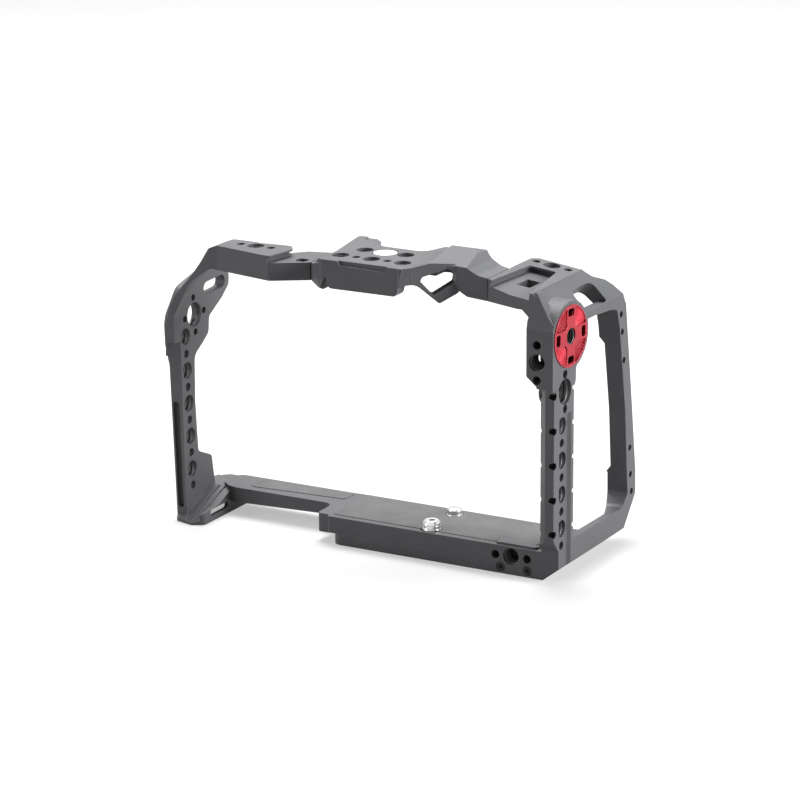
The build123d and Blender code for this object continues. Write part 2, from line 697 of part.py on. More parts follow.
def rear_rail():
    """Rail along the back of the base, with the leg that meets the base."""
    left = inner_left + 5
    plan = [
        (left, foot_rear, 3), (left, rail_left_front + 4), (foot_inner - 0.5, rail_left_front + 1),
        (foot_inner + 3, rail_left_front, 2), (leg_x, rail_left_front, 4), (leg_x, leg_front, 1.5),
        (base_left, leg_front), (base_left, base_rear), (base_left - 4, foot_rear, 1),
    ]
    rail = slab_z(plan, 0, rail_left_height)
    under = slab_y([(left - 1, -1), (left - 1, rail_left_foot - 1.6), (leg_x - 2, rail_left_foot, 1),
                    (leg_x, leg_foot, 2), (base_left + 1, leg_foot), (base_left + 1, -1)],
                   leg_front - 1, foot_rear + 1)
    return rail - under


def leg_screw_places():
    """Points on the leg in front of the rail, half way up it."""
    z = (leg_foot + base_height) / 2
    return [(leg_front + 3.2, z), (rail_left_front - 3.2, z)]


def rail_pad_outline(gap):
    left = foot_inner + 7.7 - gap
    right = leg_x + 1.3 + gap
    rear = foot_rear - 1.4 + gap
    return [(left, 13.0 - gap, 1.5), (right, 15.9 - gap, 1.5), (right, rear, 1.5), (left, rear - 0.5, 1.5)]


def left_frame():
    frame = left_wall_plate() + left_band() + left_arm() + left_foot() + rear_rail()
    into_wall = (-1, 0, -lean)
    # Hole line up the wall
    for step in range(9):
        z = lowest_hole + step * hole_pitch
        radius = pin_hole / 2 if step % 2 == 0 else tap
        frame -= through((wall_x(z), left_hole_y, z), into_wall, radius, left_wall + 2)
    z = lowest_hole + 9.05 * hole_pitch
    frame -= through((wall_x(z), left_hole_y, z), into_wall, tap, left_wall + 2)
    # Large tapped hole with four pin holes around it
    frame -= through((wall_x(left_big_z), left_big_y, left_big_z), into_wall, big_tap, left_wall + 2)
    for quarter in range(4):
        turn = math.radians(90 * quarter + 2)
        y = left_big_y + left_pin_circle * math.cos(turn)
        z = left_big_z + left_pin_circle * math.sin(turn)
        frame -= through((wall_x(z), y, z), into_wall, left_pin / 2, left_wall + 2)
    # Strap slot
    frame -= group(slot_x(15.8, 84.8, 25.6, 85.2, left_slot, wall_x(85) - left_wall - 2, wall_x(85) + 2))
    # Long closed groove up the front edge, and the chamfer beside it
    frame -= slab_y([(wall_x(5) - left_wall + 0.7, 5, 1), (wall_x(5) - 0.9, 5, 1),
                     (wall_x(46) - 0.9, 46, 1.2),
                     (wall_x(46) - left_wall + 0.7, 46, 1.2)], -left_front - 6, -left_front + 1.5)
    frame -= wall_edge_cut()
    # Arm: a tapped hole between two pin holes, and the joint to the bridge
    frame -= group(triple(left_hole_x, (0, 0, 1), (-2.0, arm_top)))
    frame -= mortise(seam_left, -1, seam_front_left, arm_top)
    # Rebate of the rail pad, and the screws that hold the leg to the base
    frame -= slab_z(rail_pad_outline(pad_gap), rail_left_height - pad_seat, rail_left_height + 1)
    return frame - group(leg_screw_cuts())


def leg_screw_cuts():
    """Screws along X through the leg of the left frame into the base."""
    cuts = []
    for y, z in leg_screw_places():
        cuts.append(drill((leg_x - 6, y, z), (1, 0, 0), screw_head / 2 + 0.1, 6 + screw_head_height))
        cuts.append(drill((leg_x - 6, y, z), (1, 0, 0), screw_size / 2, 6 + leg_screw_length + 2))
    return cuts


# ---------------------------------------------------------------------------
# Bridge over the lens mount, with a raised plate, a strap eye and an arch
# ---------------------------------------------------------------------------


def bridge_hump():
    """Step up from the left seam, and the raised plate over the lens mount."""
    step = slab_y([
        (seam_left, arm_under), (seam_left, arm_top), (hump_left - 4, arm_top + 0.6, 3),
        (hump_left + 1.5, bridge_top),
        (hump_left + 8, bridge_top), (hump_left + 8, bridge_top - bridge_skin),
        (hump_left + 5, bridge_top - bridge_skin), (hump_left + 1.5, arm_under),
    ], -20, 30)
    step &= slab_z([(seam_left, -seam_front_left), (face_left - 3.3, -12.0), (face_left, plate_front),
                    (hump_left + 8, plate_front), (hump_left + 8, 12.5),
                    (-95.0, seam_depth - seam_front_left, 2),
                    (seam_left, seam_depth - seam_front_left)], arm_under - 1, bridge_top + 1)
    plate = slab_z([(face_left, plate_front), (face_right - 2, plate_front),
                    (face_right + 2.4, plate_front + 2.8),
                    (wedge_left, -1), (wedge_left, 21), (-59.4, 22), (-62.0, 14.0, 3), (-64.5, 11.8, 2),
                    (-81.2, 12.2, 4), (-84.5, 19.1, 2), (-88.0, 22.6, 1), (-94.7, 22.4, 1), (-95.4, 21.1),
                    (-90.9, -4.1)], bridge_top - bridge_skin, bridge_top)
    return step + plate


def bridge_face():
    """Plate down the front of the hump; its face is left plain."""
    face = slab_y([(face_left, bridge_top), (face_left + 3.1, arm_under + 0.7, 1.5),
                   (face_right - 3.2, arm_under + 0.8, 1),
                   (face_right - 2.3, arm_under + 1.8, 1), (face_right, bridge_top)],
                  plate_front, plate_front + plate_face)
    hook = slab_y([(face_left - 3.3, bridge_top - 2), (face_left - 2.5, arm_under + 4),
                   (face_left - 1.1, arm_under - 0.2, 1),
                   (face_left + 1.5, arm_under - 0.2, 1), (face_left + 0.7, arm_under + 1.8, 1),
                   (face_left + 3.9, arm_under + 4), (face_left + 3.9, bridge_top - 2)],
                  plate_front + 1.2, plate_front + plate_face)
    return face + hook


def face_cut():
    """Shallow recess at the top of the front face."""
    return slab_y([(face_left + 5.9, bridge_top + 1), (face_left + 7.7, bridge_top - 1.6, 1),
                   (face_right - 7.1, bridge_top - 2.0, 1), (face_right - 5.6, bridge_top + 1)],
                  plate_front - 1, plate_front + face_recess)


def bridge_arch():
    """Raised wedge behind the strap eye that comes down to the right seam."""
    ridge = bridge_top + wedge_rise
    profile = [
        (wedge_left, ridge), (-43.0, ridge, 3), (-40.1, ridge - 0.8, 3), (-36.8, ridge - 3.4, 3),
        (-33.0, arm_seam_top + 0.5, 6), (seam_right, arm_seam_top), (seam_right, arm_under),
        (-37.2, arm_under + 0.8, 2), (-40.4, arm_under + 2.4, 1), (-42.5, arm_under + 5.0, 3),
        (-46, bridge_top - 3.6, 3), (wedge_left, bridge_top - 4.0),
    ]
    slope = [
        (-12, bridge_top - 1.2), (-seam_front_right, bridge_top + 0.4), (ridge_y, ridge, 2),
        (24, bridge_top),
        (24, arm_under - 1), (-12, arm_under - 1),
    ]
    plan = [
        (wedge_left, -8), (-50, -6), (-42, -2.8), (-38, -seam_front_right - 0.8, 4),
        (seam_right, -seam_front_right),
        (seam_right, seam_depth - seam_front_right), (-37.5, 15.2, 4), (-41.9, 18.3, 3), (-45, 19.8, 3),
        (wedge_left, 21),
    ]
    return slab_y(profile, -20, 30) & slab_z(plan, arm_under - 1, ridge + 1) & slab_x(slope, wedge_left - 1,
                                                                                      0)


def strap_eye():
    """Kite-shaped eye that stands across the corner of the bridge."""
    turn = math.radians(eye_turn)
    along = (math.cos(turn), math.sin(turn), 0)
    out = (math.sin(turn), -math.cos(turn), 0)
    plane = Plane(origin=(face_right + 0.5, plate_front + 1.3, arm_under), x_dir=along, z_dir=out)
    rise = bridge_rise
    ring = outline([(-2.6, rise - 0.2), (2.3, rise + 0.1), (9.2, rise + 1.5, 4), (19.0, rise + 0.7, 1.5),
                    (19.8, 1.6, 2), (12.3, -2.3, 1), (3.7, 5.2, 5), (-2.6, 4.6)])
    hole = outline([(5.4, 6.2, 1), (6.2, 7.7, 1.2), (15.7, rise - 0.7, 1.5), (18.2, rise - 2.9, 1.5),
                    (17.7, 5.2, 1),
                    (10.2, 0.9, 1)])
    ring = Solid.extrude(plane * ring, Vector(*out) * -eye_thickness)
    hole = Solid.extrude(plane * hole, Vector(*out) * -30).moved(Pos(*[c * 2 for c in out]))
    return ring, hole & box(-62, -38, -20, 2, arm_under - 4, bridge_top + 1)


def top_bridge():
    eye, hole = strap_eye()
    bridge = bridge_hump() + bridge_face() + bridge_arch() + eye
    bridge -= hole
    bridge -= face_cut()
    deep = bridge_rise + 2
    for step, radius in enumerate((tap, pin_hole / 2, tap, pin_hole / 2, tap)):
        bridge -= through((bridge_hole_x + step * hole_pitch, bridge_hole_y, bridge_top), (0, 0, 1), radius,
                          deep)
    for side in (-1, 1):
        bridge -= through((magnet_x + side * rear_tap_reach, magnet_y, bridge_top), (0, 0, 1), tap, deep)
    # Pocket of the magnet, and the rebate of the rear tab
    bridge -= drill((magnet_x, magnet_y, bridge_top - magnet_thickness - 0.1), (0, 0, 1),
                    magnet_radius + magnet_gap,
                    magnet_thickness + 1)
    bridge -= slab_z([(-90.8, 18.3, 1), (-92.6, 26), (-88.5, 26), (-82.9, 16, 1), (-85.5, 15.3, 1)],
                     bridge_top - tab_rebate, bridge_top + 1)
    bridge += tongue_box(seam_right, 1, seam_front_right, 0) + tongue_box(seam_left, -1, seam_front_left, 0)
    return bridge - group(seam_screw_cuts(seam_right, 1, seam_front_right)
                          + seam_screw_cuts(seam_left, -1, seam_front_left))


def key_magnet():
    return drill((magnet_x, magnet_y, bridge_top - magnet_thickness - 0.1), (0, 0, 1), magnet_radius,
                 magnet_thickness)


# ---------------------------------------------------------------------------
# Base: an upper and a lower plate, the pads, the screw and the sprung pin
# ---------------------------------------------------------------------------
pad_top = base_height + pad_thickness - pad_seat
flange_top = base_height - pad_seat - pin_guide - head_gap
plug_top = flange_top - flange_thickness - pin_travel - spring_turns * spring_wire - spring_spare
pin_x = screw_x - 0.6
pin_y = screw_y + pin_spacing
thread_radius = tap
clip_pocket = clip_radius + free_gap
pocket_floor = base_height - pad_seat - free_gap - clip_thickness - screw_travel - head_gap
clip_top = pocket_floor + head_gap + clip_thickness
pin_pocket = flange_radius + free_gap
lower_left = base_left + lower_step
base_screw_places = [(x, y) for x in (base_left + 11.8, base_right - 7.7) for y in (1.6, base_rear - 6.2)]


def pad_outline(gap):
    """Pad over the base and the block, cut around the land and the pillar."""
    left = base_left + 1.2 - gap
    front = -base_front + pad_margin - gap
    rear = base_rear - 1.4 + gap
    return [
        (left, front, 1), (base_right + 0.4 + gap, front), (base_right + 0.4 + gap, 1.6 - gap),
        (inner_right - 0.3 + gap, 1.6 - gap), (inner_right - 0.3 + gap, pillar_rear + 0.3 - gap),
        (-rail_web - 2.2 + gap, pillar_rear + 0.3 - gap), (-rail_web - 2.2 + gap, rear, 1), (left, rear, 1),
    ]


def pad_rebate():
    return slab_z(pad_outline(pad_gap), base_height - pad_seat, base_height + 2)


def base_screw_cuts():
    cuts = []
    for x, y in base_screw_places:
        cuts.append(drill((x, y, -1), (0, 0, 1), screw_head / 2 + 0.1, 1 + screw_head_height + 0.2))
        cuts.append(drill((x, y, -1), (0, 0, 1), screw_size / 2, 1 + 8.4))
    return cuts


def base_plate():
    plate = slab_z([(base_left, -base_front, 1.2), (base_right, -base_front), (base_right, base_rear),
                    (base_left, base_rear, 1.2)], split_height, base_height)
    plate -= pad_rebate()
    plate -= drill((screw_x, screw_y, 0), (0, 0, 1), shank_radius + running_gap, base_height + 1)
    plate -= drill((screw_x, screw_y, pocket_floor), (0, 0, 1), clip_pocket, base_height)
    plate -= drill((pin_x, pin_y, 0), (0, 0, 1), guide_radius + running_gap, base_height + 1)
    plate -= drill((pin_x, pin_y, 0), (0, 0, 1), pin_pocket, base_height - pad_seat - pin_guide)
    return plate - group(base_screw_cuts() + leg_screw_cuts())


def lower_plate():
    plate = slab_z([(lower_left, -base_front, 4), (base_right, -base_front), (base_right, base_rear),
                    (lower_left, base_rear, 4)], 0, split_height)
    plate += lower_tongue_box(0)
    plate -= drill((screw_x, screw_y, -1), (0, 0, 1), screw_head_radius + free_gap, split_height + 2)
    plate -= drill((pin_x, pin_y, -1), (0, 0, 1), pin_pocket, split_height + 2)
    for x in block_screw_x:
        plate -= drill((x, -base_front - 1, block_screw_z), (0, 1, 0), block_screw / 2, 14)
    return plate - group(base_screw_cuts())


def base_pad():
    pad = slab_z(pad_outline(0), base_height - pad_seat, pad_top)
    pad -= through((screw_x, screw_y, pad_top), (0, 0, 1), shank_radius + free_gap, 3)
    return pad - through((pin_x, pin_y, pad_top), (0, 0, 1), guide_radius + free_gap, 3)


def rail_pad():
    return slab_z(rail_pad_outline(0), rail_left_height - pad_seat,
                  rail_left_height - pad_seat + pad_thickness)


def camera_screw():
    """Slotted head, plain ring under the clip and a stud with a pointed end."""
    at = (screw_x, screw_y, 0)
    head_top = split_height - head_gap - screw_travel
    top = pad_top + screw_proud
    head = drill((at[0], at[1], head_top - screw_head_thickness), (0, 0, 1), screw_head_radius,
                 screw_head_thickness)
    stud = drill((at[0], at[1], head_top - 0.5), (0, 0, 1), thread_radius, top - head_top + 0.5)
    stud = stud.chamfer(screw_chamfer, None, [stud.edges().sort_by(Axis.Z)[-1]])
    stud += drill((at[0], at[1], head_top - 0.5), (0, 0, 1), shank_radius, pad_top - head_top + 0.5)
    neck = drill((at[0], at[1], clip_top - clip_thickness - head_gap), (0, 0, 1), thread_radius + 1,
                 clip_thickness + 2 * head_gap)
    neck -= drill((at[0], at[1], clip_top - clip_thickness - 1), (0, 0, 1), neck_radius, clip_thickness + 2)
    screw = head + stud - neck
    under = head_top - screw_head_thickness
    slot = box(at[0] - 0.6, at[0] + 0.6, at[1] - screw_head_radius - 1, at[1] + screw_head_radius + 1,
               under - 1, under + 1.2)
    drive = drill((at[0], at[1], top - 2.2), (0, 0, 1), 1.2, 3)
    return screw - slot - drive


def screw_clip():
    """Open ring that snaps into the neck of the camera screw."""
    z = clip_top - clip_thickness
    ring = drill((screw_x, screw_y, z), (0, 0, 1), clip_radius, clip_thickness)
    ring -= through((screw_x, screw_y, z), (0, 0, 1), neck_radius + head_gap, 2)
    mouth = slab_z([(screw_x, screw_y), (screw_x + 8, screw_y - 4.4), (screw_x + 8, screw_y + 4.4)], z - 1,
                   z + clip_thickness + 1)
    return ring - mouth


def locating_pin():
    top = pad_top + pin_proud
    pin = drill((pin_x, pin_y, flange_top - 0.5), (0, 0, 1), pin_radius, top - flange_top + 0.5)
    pin = pin.fillet(pin_round, [pin.edges().sort_by(Axis.Z)[-1]])
    pin += drill((pin_x, pin_y, flange_top - 0.5), (0, 0, 1), guide_radius, pad_top - flange_top + 0.5)
    return pin + drill((pin_x, pin_y, flange_top - flange_thickness), (0, 0, 1), flange_radius,
                       flange_thickness)


def pin_spring():
    low = plug_top + spring_wire / 2
    high = flange_top - flange_thickness - spring_wire / 2
    path = Pos(pin_x, pin_y, low) * Helix((high - low) / spring_turns, high - low, spring_radius)
    start = path @ 0
    section = Plane(origin=start, z_dir=path % 0) * Circle(spring_wire / 2)
    return sweep(section, path=path)


def pin_retainer():
    plug = drill((pin_x, pin_y, plug_bottom), (0, 0, 1), pin_pocket, plug_top - plug_bottom)
    return plug - box(pin_x - 3, pin_x + 3, pin_y - 0.6, pin_y + 0.6, plug_bottom - 1, plug_bottom + 0.8)


# ---------------------------------------------------------------------------
# Rosette and the small screws
# ---------------------------------------------------------------------------
def rosette_disc():
    """Disc with four toothed sectors between flat lands, on a threaded stem."""
    axis = Vector(*rosette_axis)
    centre = Vector(*rosette_centre)
    plane = Plane(origin=rosette_centre, x_dir=(0, 0, 1), z_dir=rosette_axis)
    back = rosette_thickness - rosette_proud
    disc = drill(centre - axis * back, axis, rosette_radius, rosette_thickness)
    disc += drill(centre - axis * (back + stem_length), axis, rosette_stem, stem_length + 1)
    # Sunk sectors between the hub, the lands and the rim
    ring = drill(centre + axis * (rosette_proud - rosette_drop), axis, rosette_radius - 0.5, 2)
    ring -= drill(centre - axis * 3, axis, rosette_hub, 8)
    half = rosette_land / 2
    reach = rosette_radius + 2
    for turn in (0, 90):
        bar = plane * (Rot(0, 0, turn) * outline([(-reach, -half), (reach, -half), (reach, half),
                                                  (-reach, half)]))
        ring -= Solid.extrude(bar, axis * 5)
        ring -= Solid.extrude(bar, axis * -3)
    disc -= ring
    # Spanner slots in the lands
    for turn in range(0, 360, 90):
        slot = outline([(spanner_circle - spanner_width / 2, -spanner_length / 2, 0.9),
                        (spanner_circle + spanner_width / 2, -spanner_length / 2, 0.9),
                        (spanner_circle + spanner_width / 2, spanner_length / 2, 0.9),
                        (spanner_circle - spanner_width / 2, spanner_length / 2, 0.9)])
        top = (plane * (Rot(0, 0, turn) * slot)).moved(Pos(axis * (rosette_proud - spanner_depth)))
        disc -= Solid.extrude(top, axis * 4)
    return disc - drill(centre - axis * (back + stem_length + 2), axis, rosette_bore, back + stem_length + 6)


def cap_screw(point, direction, head_radius, head_height, radius, length, socket):
    """Screw with a round head that starts at a point; the shank runs on."""
    way = Vector(*direction).normalized()
    start = Vector(*point)
    screw = drill(start, way, head_radius, head_height)
    screw += drill(start + way * (head_height - 0.2), way, radius, length + 0.2)
    return screw - drill(start - way, way, socket, 1 + head_height * 0.55)


def seam_screws(seam, side, front):
    return [cap_screw((x, y, arm_under + 0.15), (0, 0, 1), screw_head / 2, screw_head_height - 0.15,
                      screw_size / 2, tongue_floor + tongue_height - screw_head_height - 0.3, 0.75)
            for x, y in seam_screw_places(seam, side, front)]


def leg_screws():
    return [cap_screw((leg_x + 0.1, y, z), (1, 0, 0), screw_head / 2, screw_head_height - 0.1,
                      screw_size / 2,
                      leg_screw_length, 0.75) for y, z in leg_screw_places()]


def front_screws():
    return [cap_screw((x, -base_front + 0.2, block_screw_z), (0, 1, 0), block_screw_head / 2 - 0.05, 1.55,
                      block_screw / 2, 10, 0.6) for x in block_screw_x]


def base_screws():
    return [cap_screw((x, y, 0.2), (0, 0, 1), screw_head / 2, screw_head_height, screw_size / 2, 5.2, 0.75)
            for x, y in base_screw_places]


# ---------------------------------------------------------------------------
# Make the nodes, move them to the middle of the underside and write them
# ---------------------------------------------------------------------------
nodes = {
    "right_frame": right_frame(),
    "left_frame": left_frame(),
    "top_bridge": top_bridge(),
    "base_plate": base_plate(),
    "lower_plate": lower_plate(),
    "base_pad": base_pad(),
    "rail_pad": rail_pad(),
    "camera_screw": camera_screw(),
    "screw_clip": screw_clip(),
    "locating_pin": locating_pin(),
    "pin_spring": pin_spring(),
    "pin_retainer": pin_retainer(),
    "rosette_disc": rosette_disc(),
    "key_magnet": key_magnet(),
    "bridge_screws_left": seam_screws(seam_left, -1, seam_front_left),
    "bridge_screws_right": seam_screws(seam_right, 1, seam_front_right),
    "leg_screws": leg_screws(),
    "front_screws": front_screws(),
    "base_screws": base_screws(),
}

everything = []
for shapes in nodes.values():
    everything += shapes if isinstance(shapes, list) else [shapes]
box_all = Compound(everything).bounding_box()
shift = Vector(-(box_all.min.X + box_all.max.X) / 2, -(box_all.min.Y + box_all.max.Y) / 2, 0)
print("shift", shift)
for name, shapes in nodes.items():
    moved = [s.moved(Pos(shift)) for s in (shapes if isinstance(shapes, list) else [shapes])]
    export_step(moved[0] if len(moved) == 1 else Compound(moved), f"parts/{name}.step")
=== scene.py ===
import json
import math

import bmesh
import bpy
from mathutils import Matrix, Vector


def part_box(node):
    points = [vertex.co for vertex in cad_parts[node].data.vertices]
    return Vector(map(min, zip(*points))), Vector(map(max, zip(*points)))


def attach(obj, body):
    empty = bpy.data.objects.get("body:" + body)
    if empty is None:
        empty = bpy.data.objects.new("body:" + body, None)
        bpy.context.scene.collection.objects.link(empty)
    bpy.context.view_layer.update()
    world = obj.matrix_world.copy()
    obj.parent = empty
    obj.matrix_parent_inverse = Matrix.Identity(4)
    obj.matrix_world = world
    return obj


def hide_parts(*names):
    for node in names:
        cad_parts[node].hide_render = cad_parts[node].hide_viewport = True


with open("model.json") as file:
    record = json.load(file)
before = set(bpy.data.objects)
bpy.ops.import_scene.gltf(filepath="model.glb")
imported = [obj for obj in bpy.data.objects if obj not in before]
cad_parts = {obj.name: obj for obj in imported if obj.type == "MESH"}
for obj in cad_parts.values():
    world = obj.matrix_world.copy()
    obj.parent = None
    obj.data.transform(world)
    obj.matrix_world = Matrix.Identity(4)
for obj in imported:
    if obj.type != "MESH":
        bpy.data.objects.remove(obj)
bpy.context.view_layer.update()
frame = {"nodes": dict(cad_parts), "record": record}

# Lengths are in mm where they are multiplied by MM, else in metres
MM = 0.001
NODES = frame["nodes"]
MOUNTS = {mount["name"]: mount for mount in frame["record"]["mounts"]}


# ---------------------------------------------------------------------------
# Nodes that materials and Geometry Nodes share
# ---------------------------------------------------------------------------
def calculate(tree, operation, first, second=0.0):
    """Result of a sum on numbers or sockets."""
    node = tree.nodes.new("ShaderNodeMath")
    node.operation = operation
    for socket, value in zip(node.inputs, (first, second)):
        if isinstance(value, (int, float)):
            socket.default_value = value
        else:
            tree.links.new(value, socket)
    return node.outputs[0]


def dot(tree, first, second):
    """Dot product of a socket with another socket or with fixed numbers."""
    node = tree.nodes.new("ShaderNodeVectorMath")
    node.operation = "DOT_PRODUCT"
    tree.links.new(first, node.inputs[0])
    if isinstance(second, tuple):
        node.inputs[1].default_value = second
    else:
        tree.links.new(second, node.inputs[1])
    return node.outputs["Value"]


def noise(tree, place, waves, detail=4.0, rough=0.5):
    """Noise with so many waves in a metre."""
    node = tree.nodes.new("ShaderNodeTexNoise")
    node.inputs["Scale"].default_value = waves
    node.inputs["Detail"].default_value = detail
    node.inputs["Roughness"].default_value = rough
    tree.links.new(place, node.inputs["Vector"])
    return node.outputs["Fac"]


def spread(tree, value, low_in, high_in, low, high):
    """Value taken from one span of numbers to another."""
    node = tree.nodes.new("ShaderNodeMapRange")
    for key, number in (("From Min", low_in), ("From Max", high_in), ("To Min", low), ("To Max", high)):
        node.inputs[key].default_value = number
    tree.links.new(value, node.inputs["Value"])
    return node.outputs["Result"]


def blend_colour(tree, factor, first, second):
    """Mix of two colours; each is a socket or three numbers."""
    node = tree.nodes.new("ShaderNodeMix")
    node.data_type = "RGBA"
    # The mix has sockets for other kinds of value too, so these are picked by place
    factor_socket, first_socket, second_socket = node.inputs[0], node.inputs[6], node.inputs[7]
    result = node.outputs[2]
    for socket, colour in ((first_socket, first), (second_socket, second)):
        if isinstance(colour, tuple):
            socket.default_value = (*colour, 1.0)
        else:
            tree.links.new(colour, socket)
    tree.links.new(factor, factor_socket)
    return result


# ---------------------------------------------------------------------------
# Materials
# ---------------------------------------------------------------------------
# Waves of noise in a metre, for
CLOUD_WAVES = 60.0         # blotches in the dye of metal
HIGHLIGHT_GAP_WAVES = 900.0         # gaps in the painted edge highlight
BLASTED_WAVES = 9000.0     # grain left by the beads
MOTTLED_WAVES = 220.0      # tone of rubber
SHEEN_WAVES = 90.0         # smooth and dull spots on rubber
RUBBER_WAVES = 5200.0      # grain of rubber

CLOUD_SPAN = (0.3, 0.7)    # most of a noise lies between these
HIGHLIGHT_GAP_SPAN = (0.35, 0.6)
LEAST_HIGHLIGHT = 0.35          # painted highlight left in the gaps
EDGE_SPAN = (0.72, 0.985)  # rounded normal against the flat one: full painted highlight to none

BLASTED_DEPTH, BLASTED_STRENGTH = 0.06, 0.12
RUBBER_DEPTH, RUBBER_STRENGTH = 0.1, 0.35
RUBBER_ROUGHNESS = (0.62, 0.8)
METAL_SPECULAR = 0.25
BEVEL_SAMPLES = 4
SHADE_FADE = 0.35           # height over which the painted shade fades in
SHADE_SHARE = 0.06          # share of the dark tone left in the painted shade


def new_material(name):
    material = bpy.data.materials.new(name)
    material.use_nodes = True
    tree = material.node_tree
    tree.nodes.clear()
    out = tree.nodes.new("ShaderNodeOutputMaterial")
    skin = tree.nodes.new("ShaderNodeBsdfPrincipled")
    tree.links.new(skin.outputs["BSDF"], out.inputs["Surface"])
    return material, tree, skin


def lift_grain(tree, skin, grain, strength, depth, normal=None):
    """Bump of that depth in mm on the skin, over another normal if there is one."""
    lift = tree.nodes.new("ShaderNodeBump")
    lift.inputs["Strength"].default_value = strength
    lift.inputs["Distance"].default_value = depth * MM
    tree.links.new(grain, lift.inputs["Height"])
    if normal is not None:
        tree.links.new(normal, lift.inputs["Normal"])
    tree.links.new(lift.outputs["Normal"], skin.inputs["Normal"])


def edge_highlight(tree, place, rounded):
    """1 on a rounded edge, which gets a painted highlight, 0 on a flat, where the rounded normal is the flat
    one.
    """
    flat = tree.nodes.new("ShaderNodeNewGeometry").outputs["Normal"]
    highlight = spread(tree, dot(tree, rounded, flat), *EDGE_SPAN, 1.0, 0.0)
    gaps = spread(tree, noise(tree, place, HIGHLIGHT_GAP_WAVES, detail=3.0), *HIGHLIGHT_GAP_SPAN, LEAST_HIGHLIGHT, 1.0)
    return calculate(tree, "MULTIPLY", highlight, gaps)


def blasted_finish(name, dark, light, edge, rough=(0.42, 0.56), metallic=0.0, edge_radius=0.35, sunk=None):
    """Bead-blasted and dyed metal: fine grain, cloudy tone, paler edges that are a painted highlight in
    patches.

    sunk = (axis, level): painted shade, the tone darkens below that level along the axis.
    """
    material, tree, skin = new_material(name)
    place = tree.nodes.new("ShaderNodeTexCoord").outputs["Object"]
    bevel = tree.nodes.new("ShaderNodeBevel")
    bevel.samples = BEVEL_SAMPLES
    bevel.inputs["Radius"].default_value = edge_radius * MM
    rounded = bevel.outputs["Normal"]
    cloud = noise(tree, place, CLOUD_WAVES, detail=3.0)
    tone = blend_colour(tree, spread(tree, cloud, *CLOUD_SPAN, 0.0, 1.0), dark, light)
    # Paler edge colour: painted highlight along rounded edges, broken into patches
    tone = blend_colour(tree, edge_highlight(tree, place, rounded), tone, edge)
    # Painted shade: the tone darkens below a level, in the sunk sectors
    if sunk:
        axis, level = sunk
        painted_shade = spread(tree, dot(tree, place, axis), level - SHADE_FADE * MM, level, 1.0, 0.0)
        tone = blend_colour(tree, painted_shade, tone, tuple(part * SHADE_SHARE for part in dark))
    tree.links.new(tone, skin.inputs["Base Color"])
    tree.links.new(spread(tree, cloud, *CLOUD_SPAN, *rough), skin.inputs["Roughness"])
    skin.inputs["Metallic"].default_value = metallic
    skin.inputs["Specular IOR Level"].default_value = METAL_SPECULAR
    grain = noise(tree, place, BLASTED_WAVES, detail=2.0, rough=0.7)
    lift_grain(tree, skin, grain, BLASTED_STRENGTH, BLASTED_DEPTH, rounded)
    return material


def rubber_finish(name, dark, light):
    """Dull rubber with a mottled tone and a coarse grain."""
    material, tree, skin = new_material(name)
    place = tree.nodes.new("ShaderNodeTexCoord").outputs["Object"]
    tone = blend_colour(tree, noise(tree, place, MOTTLED_WAVES, detail=5.0), dark, light)
    sheen = spread(tree, noise(tree, place, SHEEN_WAVES), *CLOUD_SPAN, *RUBBER_ROUGHNESS)
    tree.links.new(tone, skin.inputs["Base Color"])
    tree.links.new(sheen, skin.inputs["Roughness"])
    grain = noise(tree, place, RUBBER_WAVES, detail=2.0, rough=0.7)
    lift_grain(tree, skin, grain, RUBBER_STRENGTH, RUBBER_DEPTH)
    return material


# The rosette disc lies square to the thread through its middle
DISC_BORE = MOUNTS["rosette_thread"]
DISC_AXIS = Vector(DISC_BORE["axis"]).normalized()
DISC_FACE = Vector(DISC_BORE["pos_m"]) + DISC_AXIS * DISC_BORE["dims"]["length_mm"] / 2 * MM
SHADE_DEPTH = 0.85          # from the disc's face down to where the painted shade starts
SHADE_LEVEL = DISC_FACE.dot(DISC_AXIS) - SHADE_DEPTH * MM

# The edge colour of each finish is a painted highlight on its rounded edges
dark_metal = blasted_finish(
    "dark_anodised", dark=(0.062, 0.063, 0.067), light=(0.076, 0.077, 0.082), edge=(0.17, 0.17, 0.175))
thread_metal = blasted_finish(
    "cut_thread", dark=(0.07, 0.07, 0.075), light=(0.10, 0.10, 0.105), edge=(0.3, 0.3, 0.3),
    rough=(0.25, 0.35), metallic=0.3, edge_radius=0.12)
# The red disc gets painted shade below the level of its sunk sectors
red_metal = blasted_finish(
    "red_anodised", dark=(0.29, 0.010, 0.020), light=(0.36, 0.016, 0.030), edge=(0.78, 0.22, 0.26),
    rough=(0.26, 0.38), metallic=0.45, edge_radius=0.2, sunk=(tuple(DISC_AXIS), SHADE_LEVEL))
bright_steel = blasted_finish(
    "bright_steel", dark=(0.62, 0.62, 0.61), light=(0.74, 0.74, 0.73), edge=(0.9, 0.9, 0.9),
    rough=(0.16, 0.28), metallic=1.0)
nickel = blasted_finish(
    "nickel_plate", dark=(0.86, 0.86, 0.85), light=(0.92, 0.92, 0.91), edge=(1.0, 1.0, 1.0),
    rough=(0.12, 0.2), metallic=0.6)
black_steel = blasted_finish(
    "black_steel", dark=(0.016, 0.016, 0.017), light=(0.028, 0.028, 0.03), edge=(0.12, 0.12, 0.12),
    rough=(0.35, 0.5), metallic=0.4, edge_radius=0.15)
pad_rubber = rubber_finish("pad_rubber", dark=(0.05, 0.05, 0.052), light=(0.062, 0.062, 0.065))

